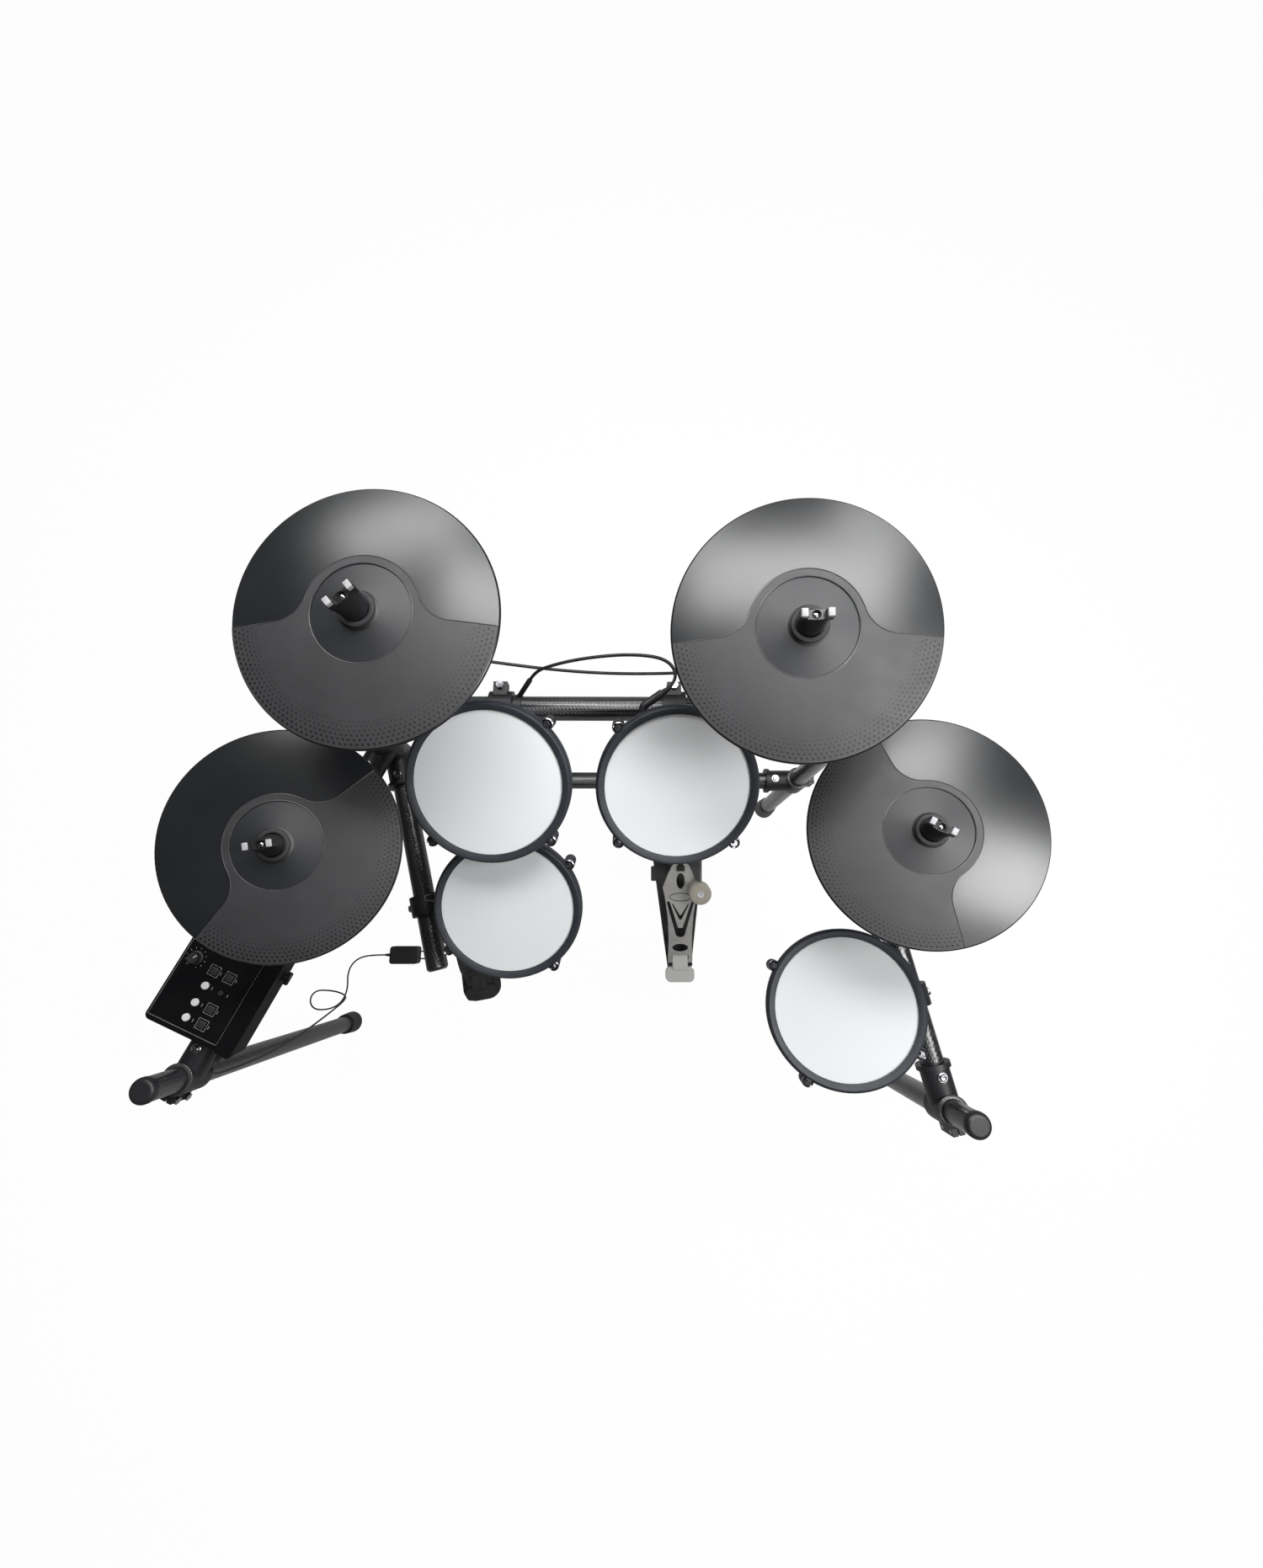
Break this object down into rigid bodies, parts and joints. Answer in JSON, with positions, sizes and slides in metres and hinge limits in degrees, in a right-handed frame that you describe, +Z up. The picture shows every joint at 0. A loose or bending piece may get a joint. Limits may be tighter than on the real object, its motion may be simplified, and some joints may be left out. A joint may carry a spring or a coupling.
{
  "type": "electronic drum kit",
  "caption": "Electronic drum kit on a tubular rack: mesh drum pads, rubber-zoned cymbal pads on booms, sound module, kick pedal with tower, and hi-hat pedal.",
  "frame": {"origin": "on the floor under the middle of the kit", "axes": "+X to the drummer's right along the kit's width, +Y away from the drummer, +Z up"},
  "size_m": [1.4007, 0.819, 1.1991],
  "materials": {
    "black_tube": "satin black powder coat with a fine woven sheen",
    "fitting_plastic": "moulded black plastic with plated screws",
    "boom_metal": "satin black",
    "cymbal_plastic": "satin dark grey",
    "cymbal_rubber": "matte, fine rows of dimples by the rim",
    "nut_plastic": "black with lighter tips",
    "mesh": "white woven mesh",
    "hoop_rubber": "blue-black matte rubber",
    "shell_plastic": "moulded black plastic",
    "pedal_alloy": "cast and blasted silver grey",
    "pedal_black": "satin black",
    "strap_web": "woven black strap",
    "beater_steel": "plated steel",
    "felt": "cream wool felt",
    "pad_rubber": "black rubber",
    "board_rubber": "ribbed black",
    "module_gloss": "glossy black",
    "white_button": "white translucent",
    "dark_key": "dark grey",
    "lead_jacket": "black flexible jacket"
  },
  "bodies": {
    "rack": {"rear_posts": "black_tube", "crossbars": "black_tube", "snare_arm": "black_tube", "rear_fittings": "fitting_plastic", "kick_pedal_base": "pedal_black", "kick_tower": "pedal_black", "kick_pad": "pad_rubber", "hihat_pedal_base": "board_rubber", "crash_lead": "lead_jacket", "tom_2_lead": "lead_jacket"},
    "left_wing": {"left_wing_tubes": "black_tube", "left_wing_fittings": "fitting_plastic", "power_adapter": "shell_plastic", "power_lead": "lead_jacket"},
    "right_wing": {"right_wing_tubes": "black_tube", "right_wing_fittings": "fitting_plastic", "floor_tom_rod": "boom_metal"},
    "crash_left_arm": {"crash_left_boom": "boom_metal"},
    "crash_left_cymbal": {"crash_left_shell": "cymbal_plastic", "crash_left_rubber": "cymbal_rubber"},
    "crash_left_nut": {"crash_left_wing_nut": "nut_plastic"},
    "crash_right_arm": {"crash_right_boom": "boom_metal"},
    "crash_right_cymbal": {"crash_right_shell": "cymbal_plastic", "crash_right_rubber": "cymbal_rubber"},
    "crash_right_nut": {"crash_right_wing_nut": "nut_plastic"},
    "hihat_arm": {"hihat_boom": "boom_metal"},
    "hihat_cymbal": {"hihat_shell": "cymbal_plastic", "hihat_rubber": "cymbal_rubber"},
    "hihat_nut": {"hihat_wing_nut": "nut_plastic"},
    "ride_arm": {"ride_boom": "boom_metal"},
    "ride_cymbal": {"ride_shell": "cymbal_plastic", "ride_rubber": "cymbal_rubber"},
    "ride_nut": {"ride_wing_nut": "nut_plastic"},
    "tom_1": {"tom_1_head": "mesh", "tom_1_hoop": "hoop_rubber", "tom_1_shell": "shell_plastic"},
    "tom_2": {"tom_2_head": "mesh", "tom_2_hoop": "hoop_rubber", "tom_2_shell": "shell_plastic"},
    "snare": {"snare_head": "mesh", "snare_hoop": "hoop_rubber", "snare_shell": "shell_plastic"},
    "floor_tom": {"floor_tom_head": "mesh", "floor_tom_hoop": "hoop_rubber", "floor_tom_shell": "shell_plastic"},
    "kick_board": {"kick_footboard": "pedal_alloy", "kick_strap": "strap_web"},
    "beater": {"beater_arm": "beater_steel", "beater_felt": "felt"},
    "hihat_board": {"hihat_footboard": "board_rubber"},
    "module": {"module_case": "module_gloss"},
    "volume": {"volume_knob": "nut_plastic"},
    "pattern_key": {"pattern_key": "dark_key"},
    "click_key": {"click_key": "dark_key"},
    "kit_button": {"kit_button": "white_button"},
    "record_button": {"record_button": "dark_key"},
    "voice_button": {"voice_button": "white_button"},
    "page_key": {"page_key": "dark_key"},
    "tempo_button": {"tempo_button": "white_button"},
    "start_key": {"start_key": "dark_key"}
  },
  "joints": [
    {"name": "left_wing_swing", "type": "hinge", "parent": "rack", "child": "left_wing", "pos_m": [-0.346, 0.255, 0.645], "axis": [0, 0, 1], "range_deg": [-30, 6]},
    {"name": "right_wing_swing", "type": "hinge", "parent": "rack", "child": "right_wing", "pos_m": [0.495, 0.255, 0.645], "axis": [0, 0, 1], "range_deg": [-6, 30]},
    {"name": "crash_left_boom_turn", "type": "hinge", "parent": "rack", "child": "crash_left_arm", "pos_m": [-0.346, 0.255, 0.88], "axis": [0, 0, 1], "range_deg": [-30, 30]},
    {"name": "crash_left_rock", "type": "hinge", "parent": "crash_left_arm", "child": "crash_left_cymbal", "pos_m": [-0.18944, 0.26028, 1.11015], "axis": [0.9996, -0.0018, 0.0297], "range_deg": [-6, 6], "stiffness_Nm_per_rad": 3},
    {"name": "crash_left_nut_spin", "type": "hinge", "parent": "crash_left_arm", "child": "crash_left_nut", "pos_m": [-0.19119, 0.2532, 1.16869], "axis": [-0.0297, -0.1201, 0.9923], "continuous": true},
    {"name": "crash_right_boom_turn", "type": "hinge", "parent": "rack", "child": "crash_right_arm", "pos_m": [0.495, 0.255, 0.88], "axis": [0, 0, 1], "range_deg": [-30, 30]},
    {"name": "crash_right_rock", "type": "hinge", "parent": "crash_right_arm", "child": "crash_right_cymbal", "pos_m": [0.30652, 0.24963, 1.10541], "axis": [0.9967, -0.0077, 0.0802], "range_deg": [-6, 6], "stiffness_Nm_per_rad": 3},
    {"name": "crash_right_nut_spin", "type": "hinge", "parent": "crash_right_arm", "child": "crash_right_nut", "pos_m": [0.30179, 0.23837, 1.16313], "axis": [-0.0802, -0.1908, 0.9783], "continuous": true},
    {"name": "hihat_boom_turn", "type": "hinge", "parent": "left_wing", "child": "hihat_arm", "pos_m": [-0.42086, 0.023, 0.645], "axis": [0, 0, 1], "range_deg": [-20, 20]},
    {"name": "hihat_rock", "type": "hinge", "parent": "hihat_arm", "child": "hihat_cymbal", "pos_m": [-0.34808, 0.02528, 0.94025], "axis": [0.9939, 0.0066, -0.1097], "range_deg": [-6, 6], "stiffness_Nm_per_rad": 3},
    {"name": "hihat_nut_spin", "type": "hinge", "parent": "hihat_arm", "child": "hihat_nut", "pos_m": [-0.34161, 0.01819, 0.99847], "axis": [0.1097, -0.1201, 0.9867], "continuous": true},
    {"name": "ride_boom_turn", "type": "hinge", "parent": "right_wing", "child": "ride_arm", "pos_m": [0.57646, 0.041, 0.645], "axis": [0, 0, 1], "range_deg": [-20, 20]},
    {"name": "ride_rock", "type": "hinge", "parent": "ride_arm", "child": "ride_cymbal", "pos_m": [0.49748, 0.04196, 0.94319], "axis": [0.9914, -0.0033, 0.1305], "range_deg": [-6, 6], "stiffness_Nm_per_rad": 3},
    {"name": "ride_nut_spin", "type": "hinge", "parent": "ride_arm", "child": "ride_nut", "pos_m": [0.48978, 0.03898, 1.00161], "axis": [-0.1305, -0.0506, 0.9902], "continuous": true},
    {"name": "tom_1_tilt", "type": "hinge", "parent": "rack", "child": "tom_1", "pos_m": [-0.093, 0.255, 0.838], "axis": [1, 0, 0], "range_deg": [-15, 2]},
    {"name": "tom_2_tilt", "type": "hinge", "parent": "rack", "child": "tom_2", "pos_m": [0.176, 0.255, 0.838], "axis": [1, 0, 0], "range_deg": [-15, 10], "deforming": ["tom_2_lead"]},
    {"name": "snare_tilt", "type": "hinge", "parent": "rack", "child": "snare", "pos_m": [-0.086, -0.03066, 0.7039], "axis": [1, 0, 0], "range_deg": [-15, 2]},
    {"name": "floor_tom_tilt", "type": "hinge", "parent": "right_wing", "child": "floor_tom", "pos_m": [0.44061, -0.2, 0.7224], "axis": [0.9928, 0, 0.1201], "range_deg": [-12, 12]},
    {"name": "beater_swing", "type": "hinge", "parent": "rack", "child": "beater", "pos_m": [0.245, 0.156, 0.151], "axis": [-1, 0, 0], "range_deg": [0, 106], "stiffness_Nm_per_rad": 0.15, "springref_deg": -34.38},
    {"name": "kick_board_press", "type": "hinge", "parent": "rack", "child": "kick_board", "pos_m": [0.245, -0.17, 0.026], "axis": [-1, 0, 0], "range_deg": [0, 8.1], "stiffness_Nm_per_rad": 6, "springref_deg": -11.46},
    {"name": "hihat_board_press", "type": "hinge", "parent": "rack", "child": "hihat_board", "pos_m": [-0.28699, -0.2197, 0.026], "axis": [-0.9848, -0.1736, 0], "range_deg": [0, 7], "stiffness_Nm_per_rad": 8, "springref_deg": -8.59},
    {"name": "module_tilt", "type": "hinge", "parent": "left_wing", "child": "module", "pos_m": [-0.54038, -0.1453, 0.645], "axis": [-0.4368, -0.8996, 0], "range_deg": [-10, 10], "deforming": ["power_lead"]},
    {"name": "volume_turn", "type": "hinge", "parent": "module", "child": "volume", "pos_m": [-0.58898, -0.12726, 0.72358], "axis": [0.1096, -0.0532, 0.9925], "range_deg": [-150, 150]},
    {"name": "pattern_key_press", "type": "slide", "parent": "module", "child": "pattern_key", "axis": [-0.1096, 0.0532, -0.9925], "range_m": [0, 0.0015], "stiffness_N_per_m": 600, "springref_m": -0.0004},
    {"name": "click_key_press", "type": "slide", "parent": "module", "child": "click_key", "axis": [-0.1096, 0.0532, -0.9925], "range_m": [0, 0.0015], "stiffness_N_per_m": 600, "springref_m": -0.0004},
    {"name": "kit_button_press", "type": "slide", "parent": "module", "child": "kit_button", "axis": [-0.1096, 0.0532, -0.9925], "range_m": [0, 0.0015], "stiffness_N_per_m": 600, "springref_m": -0.0004},
    {"name": "record_button_press", "type": "slide", "parent": "module", "child": "record_button", "axis": [-0.1096, 0.0532, -0.9925], "range_m": [0, 0.0015], "stiffness_N_per_m": 600, "springref_m": -0.0004},
    {"name": "voice_button_press", "type": "slide", "parent": "module", "child": "voice_button", "axis": [-0.1096, 0.0532, -0.9925], "range_m": [0, 0.0015], "stiffness_N_per_m": 600, "springref_m": -0.0004},
    {"name": "page_key_press", "type": "slide", "parent": "module", "child": "page_key", "axis": [-0.1096, 0.0532, -0.9925], "range_m": [0, 0.0015], "stiffness_N_per_m": 600, "springref_m": -0.0004},
    {"name": "tempo_button_press", "type": "slide", "parent": "module", "child": "tempo_button", "axis": [-0.1096, 0.0532, -0.9925], "range_m": [0, 0.0015], "stiffness_N_per_m": 600, "springref_m": -0.0004},
    {"name": "start_key_press", "type": "slide", "parent": "module", "child": "start_key", "axis": [-0.1096, 0.0532, -0.9925], "range_m": [0, 0.0015], "stiffness_N_per_m": 600, "springref_m": -0.0004}
  ],
  "couplings": [
    {"joint": "kick_board_press", "follows": "beater_swing", "ratio": 0.0755}
  ]
}
